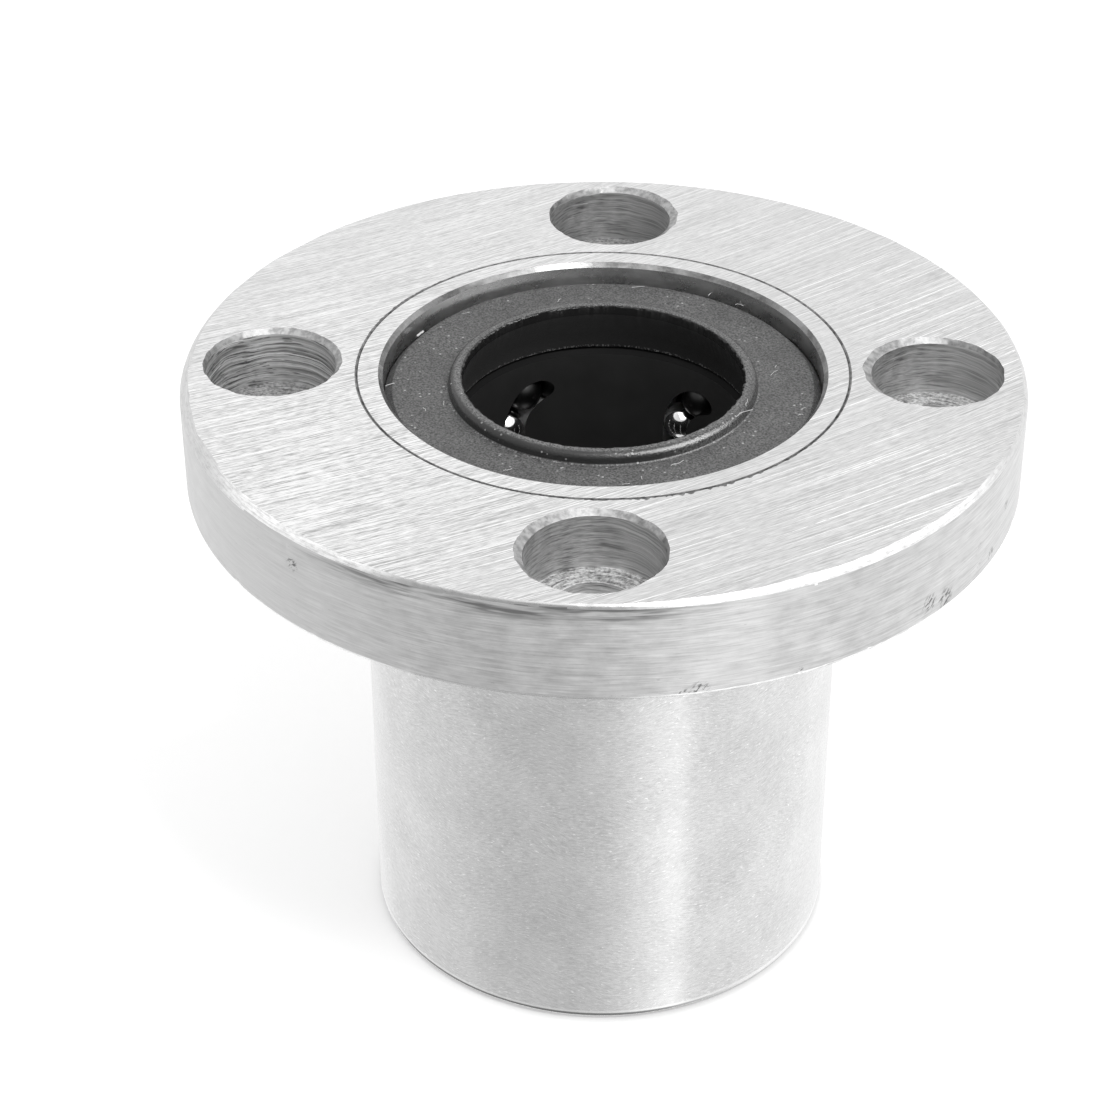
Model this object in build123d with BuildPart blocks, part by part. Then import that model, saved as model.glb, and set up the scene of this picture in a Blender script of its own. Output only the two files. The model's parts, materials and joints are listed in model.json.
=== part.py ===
from build123d import *
import os
from math import acos, asin, cos, degrees, pi, radians, sin

# Flanged linear ball bearing, in millimetres.
# Z is the bore's axis. The sleeve's free end is at z = 0, and the flange's outer face is at the other end.
# Radial sizes build up from the shaft outwards, so the 28 mm body and the 48 mm flange follow from them.

# Bearing as a whole
shaft_r = 8.0
length = 37.0
circuit_count = 5
first_row_angle = 59.2

# Balls and the gaps that they run with
ball_d = 2.38
shaft_gap = 0.025
raceway_gap = 0.05
track_gap = 0.06
ball_gap = 0.05
turn_balls = 3
rest_shift = -1.15

# Retainer
cage_bore_gap = 0.3
cage_floor = 0.65
cage_gap = 0.1
rib_wall = 0.85
turn_end_wall = 0.3
cage_bore_chamfer = 0.25

# Sleeve
seat_width = 1.0
end_wall = 1.45
ring_groove_depth = 0.6
raceway_lead = 0.4
base_chamfer = 0.4
mouth_chamfer = 0.25
undercut_width = 1.0
undercut_depth = 0.25

# Flange
flange_width = 10.0
flange_t = 6.0
flange_rim_chamfer = 0.35
flange_bore_chamfer = 0.2
joint_gap = 0.02
joint_edge_break = 0.05
bolt_count = 4
bolt_offset = 5.0
bolt_hole_r = 2.25
head_r = 3.75
head_depth = 3.5
head_edge_break = 0.15
bolt_exit_chamfer = 0.2

# Snap rings
ring_t = 0.7
ring_width = 2.05
ring_side_gap = 0.05
ring_opening = 4.0
ring_corner_r = 0.4

# Seals
seal_depth = 1.1
seal_t = 2.3
seal_fit_gap = 0.05
seal_face_chamfer = 0.47
seal_back_chamfer = 0.2
collar_height = 0.65
collar_width = 0.65
collar_foot = 0.85
collar_round = 0.2
lip_gap = 0.05
lip_edge = 0.07
lip_land = 0.8
lip_flare = 0.4
lip_flare_height = 1.1
stack_gap = 0.1

# Ball circuit: three balls fill a turn, so the turn's radius is the distance between their centres
ball_r = ball_d / 2
channel_r = ball_r + track_gap
turn_r = ball_d + ball_gap
pitch = turn_r * pi / turn_balls
loaded_r = shaft_r + shaft_gap + ball_r
cage_bore_r = shaft_r + cage_bore_gap
return_r = cage_bore_r + cage_floor + channel_r
row_cosine = (loaded_r**2 + return_r**2 - (2 * turn_r) ** 2) / (2 * loaded_r * return_r)
row_spread = degrees(acos(row_cosine))

# Radii from the balls outwards
raceway_r = loaded_r + ball_r + raceway_gap
cage_r = raceway_r - cage_gap
rib_r = return_r + channel_r
relief_r = rib_r + cage_gap
recess_r = relief_r + seat_width
ring_groove_r = recess_r + ring_groove_depth
sleeve_r = recess_r + end_wall
flange_r = sleeve_r + flange_width
bolt_circle_r = sleeve_r + bolt_offset

# Depths below either end face
seal_back = seal_depth + seal_t
cage_end = seal_back + 2 * stack_gap
ring_top = seal_back + stack_gap
ring_bottom = ring_top + ring_t
seat_depth = ring_bottom + ring_side_gap
rib_end = ring_bottom + stack_gap

# Straight runs hold as many balls as fit between the turns
middle = length / 2
run_space = length - 2 * (rib_end + turn_end_wall + channel_r + turn_r)
row_balls = int(run_space / pitch)
run = row_balls * pitch


def circuit_plane(index):
    """Plane of one circuit: X from the return row to the loaded row, Y up the bearing, Z outwards."""
    angle = radians(first_row_angle + index * 360 / circuit_count)
    spread = radians(row_spread)
    loaded = Vector(loaded_r * cos(angle), loaded_r * sin(angle), middle)
    returning = Vector(return_r * cos(angle - spread), return_r * sin(angle - spread), middle)
    across = (loaded - returning).normalized()
    return Plane(origin=(loaded + returning) / 2, x_dir=across, z_dir=across.cross(Vector(0, 0, 1)))


def end_section(end):
    """Section plane of one end: X is the radius, and Y points out of the end face."""
    if end == "upper":
        return Plane(origin=(0, 0, length), x_dir=(1, 0, 0), z_dir=(0, -1, 0))
    return Plane(origin=(0, 0, 0), x_dir=(1, 0, 0), z_dir=(0, 1, 0))


def sector(inner, outer, centre_angle, half_angle):
    """Flat ring sector between two radii, about an angle."""
    start = centre_angle - half_angle
    with BuildSketch() as flat:
        with BuildLine():
            outer_edge = CenterArc((0, 0), outer, start, 2 * half_angle)
            inner_edge = CenterArc((0, 0), inner, start, 2 * half_angle)
            Line(inner_edge @ 0, outer_edge @ 0)
            Line(inner_edge @ 1, outer_edge @ 1)
        make_face()
    return flat.sketch


def return_row_angles():
    """Angles of the return rows about the bore."""
    step = 360 / circuit_count
    return [first_row_angle - row_spread + index * step for index in range(circuit_count)]


def save(part, name):
    """Name a finished piece and write it."""
    part.label = name
    export_step(part, f"parts/{name}.step")


os.makedirs("parts", exist_ok=True)

# Flange: a ring pressed over the sleeve, flush with the sleeve's end, with counterbored screw holes
with BuildPart() as flange:
    with BuildSketch(Plane.XY.offset(length - flange_t)):
        Circle(flange_r)
        Circle(sleeve_r + joint_gap, mode=Mode.SUBTRACT)
    extrude(amount=flange_t)
    rings = flange.edges().filter_by(GeomType.CIRCLE).group_by(SortBy.RADIUS)
    chamfer(rings[-1], length=flange_rim_chamfer)
    rings = flange.edges().filter_by(GeomType.CIRCLE).group_by(SortBy.RADIUS)
    chamfer(rings[0].sort_by(Axis.Z)[0], length=flange_bore_chamfer)
    rings = flange.edges().filter_by(GeomType.CIRCLE).group_by(SortBy.RADIUS)
    chamfer(rings[0].sort_by(Axis.Z)[-1], length=joint_edge_break)
    with Locations(Plane.XY.offset(length)):
        with PolarLocations(bolt_circle_r, bolt_count):
            CounterBoreHole(bolt_hole_r, head_r, head_depth, flange_t)
    mouths = flange.edges().filter_by(GeomType.CIRCLE).filter_by(lambda e: abs(e.radius - head_r) < 0.001)
    chamfer(mouths.group_by(Axis.Z)[-1], length=head_edge_break)
    exits = flange.edges().filter_by(GeomType.CIRCLE).filter_by(lambda e: abs(e.radius - bolt_hole_r) < 0.001)
    chamfer(exits.group_by(Axis.Z)[0], length=bolt_exit_chamfer)
save(flange.part, "flange")

# Sleeve: a raceway for the loaded rows, with wider reliefs, seats and grooves towards both ends,
# and an undercut at the flange's foot where the grinding of the outside runs out
with BuildPart() as outer_sleeve:
    with BuildSketch(end_section("upper")):
        with BuildLine():
            Polyline(
                (sleeve_r, -middle),
                (sleeve_r, 0),
                (recess_r + mouth_chamfer, 0),
                (recess_r, -mouth_chamfer),
                (recess_r, -ring_top + ring_side_gap),
                (ring_groove_r, -ring_top + ring_side_gap),
                (ring_groove_r, -seat_depth),
                (relief_r, -seat_depth),
                (relief_r, -middle + run / 2),
                (raceway_r + raceway_lead, -middle + run / 2),
                (raceway_r, -middle + run / 2 - raceway_lead),
                (raceway_r, -middle),
                close=True,
            )
        make_face()
    revolve(axis=Axis.Z)
    mirror(about=Plane.XY.offset(middle))
    groove_half = degrees(asin((channel_r + rib_wall + cage_gap) / return_r))
    with BuildSketch(Plane.XY.offset(seat_depth)):
        for angle in return_row_angles():
            add(sector(raceway_r - raceway_lead, relief_r, angle, groove_half))
    extrude(amount=length - 2 * seat_depth, mode=Mode.SUBTRACT)
    outside = outer_sleeve.edges().filter_by(GeomType.CIRCLE).group_by(SortBy.RADIUS)[-1]
    chamfer(outside.sort_by(Axis.Z)[0], length=base_chamfer)
    outside = outer_sleeve.edges().filter_by(GeomType.CIRCLE).group_by(SortBy.RADIUS)[-1]
    chamfer(outside.sort_by(Axis.Z)[-1], length=joint_edge_break)
    with BuildSketch(Plane.XY.offset(length - flange_t - undercut_width / 2)):
        Circle(sleeve_r)
        Circle(sleeve_r - undercut_depth, mode=Mode.SUBTRACT)
    extrude(amount=undercut_width, mode=Mode.SUBTRACT)
save(outer_sleeve.part, "outer_sleeve")

# Ball track: the space that one circuit of balls runs in, round at the bottom and open outwards
first_plane = circuit_plane(0)
track_reach = ring_groove_r - shaft_r
with BuildPart() as track:
    for at_x in (turn_r, -turn_r):
        foot = first_plane.from_local_coords((0, -run / 2, 0))
        with BuildSketch(Plane(origin=foot, x_dir=first_plane.x_dir, z_dir=(0, 0, 1))):
            with BuildLine():
                Polyline(
                    (at_x - channel_r, 0),
                    (at_x - channel_r, -track_reach),
                    (at_x + channel_r, -track_reach),
                    (at_x + channel_r, 0),
                )
                ThreePointArc((at_x + channel_r, 0), (at_x, channel_r), (at_x - channel_r, 0))
            make_face()
        extrude(amount=run)
    for side in (1, -1):
        centre = first_plane.from_local_coords((0, side * run / 2, 0))
        with BuildSketch(Plane(origin=centre, x_dir=first_plane.x_dir, z_dir=(0, 0, 1))):
            with BuildLine():
                Polyline(
                    (turn_r - channel_r, 0),
                    (turn_r - channel_r, -track_reach),
                    (turn_r + channel_r, -track_reach),
                    (turn_r + channel_r, 0),
                )
                ThreePointArc((turn_r + channel_r, 0), (turn_r, channel_r), (turn_r - channel_r, 0))
            make_face()
        revolve(axis=Axis(centre, first_plane.z_dir), revolution_arc=side * 180)

# Retainer: a resin tube with ribs that run in the sleeve's grooves, cut through by the five tracks
with BuildPart() as ball_retainer:
    with BuildSketch(Plane.XY.offset(cage_end)):
        Circle(cage_r)
        Circle(cage_bore_r, mode=Mode.SUBTRACT)
    extrude(amount=length - 2 * cage_end)
    bore_ends = ball_retainer.edges().filter_by(GeomType.CIRCLE).group_by(SortBy.RADIUS)[0]
    chamfer(bore_ends, length=cage_bore_chamfer)
    rib_half = degrees(asin((channel_r + rib_wall) / return_r))
    with BuildSketch(Plane.XY.offset(rib_end)):
        for angle in return_row_angles():
            add(sector(cage_r - cage_gap, rib_r, angle, rib_half))
    extrude(amount=length - 2 * rib_end)
    with PolarLocations(0, circuit_count):
        add(track.part, mode=Mode.SUBTRACT)
save(ball_retainer.part, "ball_retainer")

# Snap rings and seals: one of each in either end
for end in ("upper", "lower"):
    section = end_section(end)
    ring_foot = length - ring_bottom if end == "upper" else ring_top
    with BuildPart() as snap_ring:
        with BuildSketch(Plane.XY.offset(ring_foot)):
            Circle(ring_groove_r - ring_side_gap)
            Circle(ring_groove_r - ring_side_gap - ring_width, mode=Mode.SUBTRACT)
            with Locations((ring_groove_r, 0)):
                Rectangle(2 * ring_groove_r, ring_opening, mode=Mode.SUBTRACT)
        extrude(amount=ring_t)
        fillet(snap_ring.edges().filter_by(Axis.Z), radius=ring_corner_r)
    save(snap_ring.part, f"{end}_snap_ring")

    lip_r = shaft_r + lip_gap
    seal_r = recess_r - seal_fit_gap
    collar_r = shaft_r + collar_width
    with BuildPart() as seal:
        with BuildSketch(section):
            with BuildLine():
                foot = (shaft_r + collar_foot, -seal_depth)
                shoulder = (collar_r + collar_round, -seal_depth + collar_height - collar_round)
                crest = (collar_r, -seal_depth + collar_height)
                Polyline(
                    crest,
                    (lip_r + lip_edge, -seal_depth + collar_height),
                    (lip_r, -seal_depth + collar_height - lip_edge),
                    (lip_r, -seal_depth + collar_height - lip_edge - lip_land),
                    (lip_r + lip_flare, -seal_depth + collar_height - lip_edge - lip_land - lip_flare_height),
                    (lip_r + lip_flare, -seal_back),
                    (seal_r - seal_back_chamfer, -seal_back),
                    (seal_r, -seal_back + seal_back_chamfer),
                    (seal_r, -seal_depth - seal_face_chamfer),
                    (seal_r - seal_face_chamfer, -seal_depth),
                    foot,
                    shoulder,
                )
                RadiusArc(shoulder, crest, collar_round)
            make_face()
        revolve(axis=Axis.Z)
    save(seal.part, f"{end}_seal")

# Balls: each circuit's rows and turns, spaced along its centre line from the foot of the loaded row
for index in range(circuit_count):
    plane = circuit_plane(index)
    row_steps = [(k + 0.5) * pitch + rest_shift for k in range(row_balls)]
    turn_angles = [((k + 0.5) * pitch + rest_shift) / turn_r for k in range(turn_balls)]
    groups = {
        "loaded_row": [(turn_r, s - run / 2, 0) for s in row_steps],
        "upper_turn": [(turn_r * cos(a), run / 2 + turn_r * sin(a), 0) for a in turn_angles],
        "return_row": [(-turn_r, run / 2 - s, 0) for s in row_steps],
        "lower_turn": [(-turn_r * cos(a), -run / 2 - turn_r * sin(a), 0) for a in turn_angles],
    }
    for group, centres in groups.items():
        with BuildPart(plane) as balls:
            with Locations(*centres):
                Sphere(ball_r)
        save(balls.part, f"{group}_{index + 1}")
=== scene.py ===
import json
import math
import random

import bmesh
import bpy
from mathutils import Matrix, Vector, noise


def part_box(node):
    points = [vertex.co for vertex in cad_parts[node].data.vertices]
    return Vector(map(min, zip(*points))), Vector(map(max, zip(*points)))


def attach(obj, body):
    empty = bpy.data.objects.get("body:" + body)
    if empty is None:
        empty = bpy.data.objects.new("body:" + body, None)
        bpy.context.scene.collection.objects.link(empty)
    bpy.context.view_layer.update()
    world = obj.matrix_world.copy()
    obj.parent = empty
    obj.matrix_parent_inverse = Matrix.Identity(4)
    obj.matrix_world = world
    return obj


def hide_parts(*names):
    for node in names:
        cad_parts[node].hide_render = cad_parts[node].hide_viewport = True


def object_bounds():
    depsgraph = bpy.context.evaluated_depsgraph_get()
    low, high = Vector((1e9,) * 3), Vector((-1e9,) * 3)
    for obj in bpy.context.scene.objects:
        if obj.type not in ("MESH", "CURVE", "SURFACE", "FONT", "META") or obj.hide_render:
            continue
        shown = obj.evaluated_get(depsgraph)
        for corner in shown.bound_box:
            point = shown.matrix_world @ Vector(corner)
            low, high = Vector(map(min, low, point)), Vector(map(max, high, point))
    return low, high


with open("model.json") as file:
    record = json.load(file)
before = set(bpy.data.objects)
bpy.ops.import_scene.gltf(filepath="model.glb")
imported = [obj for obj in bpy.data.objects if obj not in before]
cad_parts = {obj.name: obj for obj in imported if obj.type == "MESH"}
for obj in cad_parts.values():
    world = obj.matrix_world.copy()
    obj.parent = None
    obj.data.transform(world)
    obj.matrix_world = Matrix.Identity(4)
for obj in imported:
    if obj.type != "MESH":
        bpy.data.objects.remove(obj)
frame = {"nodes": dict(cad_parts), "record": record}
cad_low, cad_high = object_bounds()

MM = 0.001
HOUSING = "housing"

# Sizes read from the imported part, in metres
flange_low, flange_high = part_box("flange")
seal_low, seal_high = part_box("upper_seal")
FLANGE_R = flange_high.x
FLANGE_TOP = flange_high.z
FLANGE_FOOT = flange_low.z
SLEEVE_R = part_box("outer_sleeve")[1].x
SEAL_R = seal_high.x
MOUNTS = {mount["name"]: mount for mount in frame["record"]["mounts"]}
HOLE_R = MOUNTS["flange_holes"]["dims"]["hole_r_mm"] * MM
HOLE_CIRCLE_R = MOUNTS["flange_holes"]["dims"]["pcd_mm"] * MM / 2
HOLE_COUNT = MOUNTS["flange_holes"]["dims"]["count"]
LIP_R = MOUNTS["shaft_bore"]["dims"]["r_mm"] * MM

MIDDLE = (cad_low.z + cad_high.z) / 2
SEAL_FACE = seal_high.z - 0.65 * MM
SEAL_BACK = seal_low.z

# Sizes of the finish and the wear
HEAD_R = 3.75 * MM
HEAD_DEPTH = 3.5 * MM
BALL_R = 1.19 * MM
INSIDE_R = 12.5 * MM
COLLAR_FOOT_R = 8.93 * MM
JOINT_GAP = 0.02 * MM
JOINT_BREAK = 0.05 * MM
GRIND_CENTRE = (-90 * MM, 140 * MM)

# Rim's broken edges: how far in and how far down each corner lies, in mm
TOP_EDGE = ((0.5, 0), (0.3, 0.08), (0.13, 0.22), (0.03, 0.38), (0, 0.5))
FOOT_EDGE = ((0, 0.35), (0.12, 0.14), (0.35, 0))

# Dents in the rim: angle in degrees, height, length, width and depth in mm
DENTS = (
    (227.5, 36.0, 0.16, 0.1, 0.08), (228.0, 35.15, 0.14, 0.08, 0.06), (296.5, 31.35, 0.3, 0.1, 0.08),
    (300.7, 31.55, 0.22, 0.08, 0.05), (307.0, 31.4, 0.32, 0.1, 0.08), (314.5, 32.05, 0.4, 0.07, 0.06),
    (316.5, 31.6, 0.3, 0.09, 0.06), (321.8, 32.45, 0.3, 0.08, 0.06), (324.0, 31.9, 0.22, 0.08, 0.05),
    (329.5, 32.0, 0.55, 0.12, 0.1), (329.0, 33.4, 0.45, 0.08, 0.07), (331.0, 32.6, 0.3, 0.08, 0.06),
)

# Groups of dark nicks on the rim: angle in degrees, height and radius in mm
RIM_MARKS = (
    (-78.8, 31.25, 0.5), (-76.7, 31.5, 0.6), (-63.8, 31.4, 0.4), (-42.6, 32.2, 0.7),
    (-39.2, 31.85, 0.8), (-27, 31.9, 0.45), (-131.3, 35.2, 0.5), (-87.8, 31.2, 0.3), (-22, 33.9, 0.4),
)

# Fibres that can be told apart on the seal: x, y, heading in degrees, length and thickness in mm
FIBRES = (
    (-11.05, 5.2, 35, 0.65, 0.13), (7.5, -4.5, 60, 1.3, 0.035), (8.1, -3.3, 100, 0.8, 0.03),
    (6.1, 10.7, 70, 0.9, 0.04), (11.4, 6.9, 20, 0.7, 0.035), (7.7, 9.6, 5, 0.6, 0.03),
    (-12.4, -0.7, 20, 0.6, 0.04), (9.6, 1.2, 80, 0.7, 0.03), (-5.2, -9.6, 10, 0.5, 0.03),
    (3.9, -8.8, 65, 0.9, 0.035), (-9.9, -3.4, 120, 0.4, 0.03), (1.5, 11.6, 10, 0.8, 0.03),
)

# Counterbored holes from +X round: depth of the wall's rings, and the mouth's shift and width in mm
HOLE_LOOKS = (
    (0.02, (-0.22, 0.05), 0.26),
    (0.03, (0.2, 0.06), 0.26),
    (0.06, (0.1, 0.1), 0.22),
    (0.02, (-0.16, 0.1), 0.27),
)

# The camera that took the photograph, from its fit to the rims and the holes
PHOTO_PIXELS = 1100
FOCAL_PIXELS = 2871.5
CAMERA_DISTANCE = 173.74 * MM
CAMERA_AIM = Vector((0, 0, 18.5 * MM))
CAMERA_ELEVATION = math.radians(35.089)
CAMERA_TURN = math.radians(1.1)
CAMERA_PAN = math.radians(-1.035)
CAMERA_TILT = math.radians(1.648)
CAMERA_ROLL = math.radians(0.381)
SENSOR = 36.0

# The studio's even light, and how bright the metal sees it round the horizon: degrees from +X, then strength
EVEN_LIGHT = 0.9
STUDIO_BANDS = (
    (180, 1.0), (202, 0.9), (218, 0.8), (240, 0.77), (262, 0.78), (273, 0.85), (283, 0.98), (293, 1.24),
    (303, 1.44), (313, 1.6), (316, 1.12), (345, 1.13), (360, 1.22), (400, 1.28), (450, 1.12), (500, 1.1),
    (540, 1.0),
)


def linear(code):
    """Linear colour with alpha from an sRGB hex code."""
    channels = [int(code[i:i + 2], 16) / 255 for i in (1, 3, 5)]
    return [c / 12.92 if c <= 0.04045 else ((c + 0.055) / 1.055) ** 2.4 for c in channels] + [1.0]


def add(tree, kind, inputs=(), output=0, **settings):
    """Add a shader node with its settings, set or link its inputs, and return one of its outputs.

    The inputs are values or sockets, given in order or by name or number. A colour Mix has its factor
    at 0, its two colours at 6 and 7, and its result at output 2.
    """
    made = tree.nodes.new("ShaderNode" + kind)
    for name, value in settings.items():
        setattr(made, name, value)
    for key, value in inputs.items() if isinstance(inputs, dict) else enumerate(inputs):
        if isinstance(value, bpy.types.NodeSocket):
            tree.links.new(value, made.inputs[key])
        else:
            made.inputs[key].default_value = value
    return made.outputs[output] if made.outputs else None


def blank_material(name):
    """A material with an empty node tree, its output and its principled shader."""
    material = bpy.data.materials.new(name)
    material.use_nodes = True
    tree = material.node_tree
    tree.nodes.clear()
    surface = add(tree, "BsdfPrincipled")
    add(tree, "OutputMaterial", {"Surface": surface})
    return material, tree, surface.node


def place(tree):
    """X, Y and Z of the surface point, in metres in the part's frame."""
    position = add(tree, "TexCoord", output="Object")
    return [add(tree, "SeparateXYZ", (position,), output=axis) for axis in "XYZ"]


def streaks(tree, across, along, width, length, seed, detail=2.0):
    """Noise drawn out into lines: across and along are positions, width and length are the lines' size."""
    vector = add(tree, "CombineXYZ", (
        add(tree, "Math", (across, 1 / width), operation="MULTIPLY"),
        add(tree, "Math", (along, 1 / length), operation="MULTIPLY"), float(seed),
    ))
    return add(tree, "TexNoise", {"Vector": vector, "Scale": 1.0, "Detail": detail, "Roughness": 0.6})


def radius_of(tree, x, y):
    """Distance from an axis, from the two sides of the right angle."""
    y_squared = add(tree, "Math", (y, y), operation="MULTIPLY")
    squares = add(tree, "Math", (x, x, y_squared), operation="MULTIPLY_ADD")
    return add(tree, "Math", (squares,), operation="SQRT")


def weighted(tree, *pairs):
    """Sum of values, each times its share."""
    total = 0.0
    for value, share in pairs:
        total = add(tree, "Math", (value, share, total), operation="MULTIPLY_ADD")
    return total


def layered(tree, colour, *layers):
    """A colour with others laid over it in turn, each with its cover from 0 to 1."""
    for cover, code in layers:
        colour = add(tree, "Mix", {0: cover, 6: colour, 7: linear(code)}, data_type="RGBA", output=2)
    return colour


def finish(tree, shader, colour, roughness, height, depth, metallic=1.0):
    """Connect a finish's colour, roughness and fine relief."""
    shader.inputs["Metallic"].default_value = metallic
    tree.links.new(colour, shader.inputs["Base Color"])
    tree.links.new(roughness, shader.inputs["Roughness"])
    relief = add(tree, "Bump", {"Height": height, "Distance": depth, "Strength": 1.0})
    tree.links.new(relief, shader.inputs["Normal"])


def surface_ground_steel():
    """Steel ground flat with a cup wheel: long shallow arcs of crisp bright and grey scratches; painted light
    and painted glints towards the left.
    """
    material, tree, shader = blank_material("surface_ground_steel")
    x, y, _ = place(tree)
    from_x = add(tree, "Math", (x, GRIND_CENTRE[0]), operation="SUBTRACT")
    from_y = add(tree, "Math", (y, GRIND_CENTRE[1]), operation="SUBTRACT")
    across = radius_of(tree, from_x, from_y)
    along = add(tree, "Math", (
        add(tree, "Math", (from_y, from_x), operation="ARCTAN2"), math.hypot(*GRIND_CENTRE),
    ), operation="MULTIPLY")
    grain = streaks(tree, across, along, 0.07 * MM, 0.7 * MM, 1, 3.0)
    lines = streaks(tree, across, along, 0.11 * MM, 7 * MM, 2, 2.0)
    broad = streaks(tree, across, along, 1.2 * MM, 20 * MM, 3, 1.0)
    breaks = add(tree, "MapRange", (streaks(tree, across, along, 0.1 * MM, 0.5 * MM, 9, 1.0), 0.25, 0.45))
    scratch = add(tree, "MapRange", (streaks(tree, across, along, 0.09 * MM, 14 * MM, 4, 1.0), 0.63, 0.67))
    dark = add(tree, "MapRange", (streaks(tree, across, along, 0.1 * MM, 3.5 * MM, 6, 1.0), 0.66, 0.72))
    glint = add(tree, "MapRange", (streaks(tree, across, along, 0.1 * MM, 2 * MM, 5, 2.0), 0.56, 0.64))
    # Painted light: towards the left the face is lighter and its lines stronger.
    left = add(tree, "MapRange", (
        add(tree, "Math", (y, -0.3, x), operation="MULTIPLY_ADD"), 8 * MM, -12 * MM,
    ))
    near = add(tree, "MapRange", (
        add(tree, "Math", (x, -0.5, y), operation="MULTIPLY_ADD"), 20 * MM, -4 * MM, 0.45, 1.0,
    ))
    patch = add(tree, "MapRange", (streaks(tree, across, along, 2 * MM, 9 * MM, 8, 2.0), 0.4, 0.6))
    busy = add(tree, "Math", (left, 0.85, 0.55), operation="MULTIPLY_ADD")
    depth = weighted(tree, (grain, 0.5), (lines, 0.45), (broad, 0.05))
    shade = add(tree, "Math", (
        add(tree, "MapRange", (depth, 0.38, 0.62, -0.5, 0.5)),
        add(tree, "Math", (near, busy), operation="MULTIPLY"),
    ), operation="MULTIPLY")
    shade = add(tree, "Math", (
        add(tree, "Math", (left, near), operation="MULTIPLY"), 0.16, shade,
    ), operation="MULTIPLY_ADD")
    colour = layered(
        tree, linear("#A2A2A2"), (add(tree, "Math", (shade, 0.5), operation="ADD"), "#F0F0F0"),
        (add(tree, "Math", (dark, weighted(tree, (near, 0.5))), operation="MULTIPLY"), "#888888"),
    )
    # Painted glints on the lit left, laid with the real long white scratches.
    glints = add(tree, "Math", (
        add(tree, "Math", (glint, patch), operation="MULTIPLY"),
        add(tree, "Math", (left, near), operation="MULTIPLY"),
    ), operation="MULTIPLY")
    long_lines = add(tree, "Math", (
        add(tree, "Math", (scratch, breaks), operation="MULTIPLY"), weighted(tree, (near, 0.95)),
    ), operation="MULTIPLY")
    bright = add(tree, "Math", (weighted(tree, (glints, 0.8)), long_lines), operation="MAXIMUM")
    colour = layered(tree, colour, (bright, "#FFFFFF"))
    height = weighted(tree, (depth, 1.0), (bright, 0.3))
    finish(tree, shader, colour, add(tree, "MapRange", (grain, 0.3, 0.7, 0.3, 0.42)), height, 0.01 * MM)
    return material


def turned_steel():
    """Steel turned on a lathe: fine lines round it, mottled patches, slanted nicks, and a darker streak under
    the top edge at the front.
    """
    material, tree, shader = blank_material("turned_steel")
    x, y, z = place(tree)
    radius = radius_of(tree, x, y)
    angle = add(tree, "Math", (y, x), operation="ARCTAN2")
    along = add(tree, "Math", (angle, FLANGE_R), operation="MULTIPLY")
    across = add(tree, "Math", (
        add(tree, "Math", (z, FLANGE_R), operation="ADD"), radius,
    ), operation="SUBTRACT")
    fine = streaks(tree, across, along, 0.09 * MM, 2.2 * MM, 11)
    middle = streaks(tree, across, along, 0.24 * MM, 6 * MM, 12)
    patches = streaks(tree, across, along, 0.9 * MM, 1.5 * MM, 13, 4.0)
    slant_across = weighted(tree, (across, math.cos(0.7)), (along, -math.sin(0.7)))
    slant_along = weighted(tree, (across, math.sin(0.7)), (along, math.cos(0.7)))
    dashes = add(tree, "MapRange", (
        streaks(tree, slant_across, slant_along, 0.16 * MM, 0.5 * MM, 14, 2.0), 0.5, 0.57,
    ))
    where = 0.0
    for turn, mark_z, size in RIM_MARKS:
        off = add(tree, "Math", (angle, FLANGE_R, -math.radians(turn) * FLANGE_R), operation="MULTIPLY_ADD")
        rise = add(tree, "Math", (across, mark_z * MM), operation="SUBTRACT")
        apart = radius_of(tree, off, rise)
        where = add(tree, "Math", (
            where, add(tree, "MapRange", (apart, size * MM, 0.4 * size * MM)),
        ), operation="MAXIMUM")
    marks = add(tree, "Math", (dashes, where), operation="MULTIPLY")
    ticks = add(tree, "MapRange", (streaks(tree, across, along, 0.1 * MM, 0.5 * MM, 17, 1.0), 0.72, 0.78))
    # A darker streak just under the top edge at the front.
    under_edge = add(tree, "Math", (
        add(tree, "MapRange", (z, 35.7 * MM, 36.3 * MM)), add(tree, "MapRange", (y, -18 * MM, -21.5 * MM)),
    ), operation="MULTIPLY")
    dark_streak = add(tree, "Math", (under_edge, add(tree, "MapRange", (x, 8 * MM, 2 * MM))), operation="MULTIPLY")
    dark_streak = add(tree, "Math", (
        dark_streak, add(tree, "MapRange", (streaks(tree, across, along, 0.3 * MM, 4 * MM, 18, 2.0), 0.42, 0.6)),
    ), operation="MULTIPLY")
    lines = weighted(tree, (fine, 0.42), (middle, 0.24), (patches, 0.34))
    streaky = add(tree, "MapRange", (x, -19 * MM, -7 * MM, 0.35, 1.0))
    shade = add(tree, "Math", (
        add(tree, "MapRange", (lines, 0.36, 0.64, -0.5, 0.5)), streaky, 0.5,
    ), operation="MULTIPLY_ADD")
    colour = layered(
        tree, linear("#B0B0B0"), (shade, "#DADADA"), (weighted(tree, (ticks, 0.35)), "#808080"),
        (weighted(tree, (dark_streak, 0.9)), "#707070"), (weighted(tree, (marks, 0.9)), "#5A5A5A"),
    )
    height = weighted(
        tree, (add(tree, "Math", (lines, streaky), operation="MULTIPLY"), 1.0), (marks, -0.4),
        (ticks, -0.2),
    )
    finish(
        tree, shader, colour, add(tree, "MapRange", (patches, 0.35, 0.65, 0.28, 0.42)), height, 0.014 * MM,
    )
    return material


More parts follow.
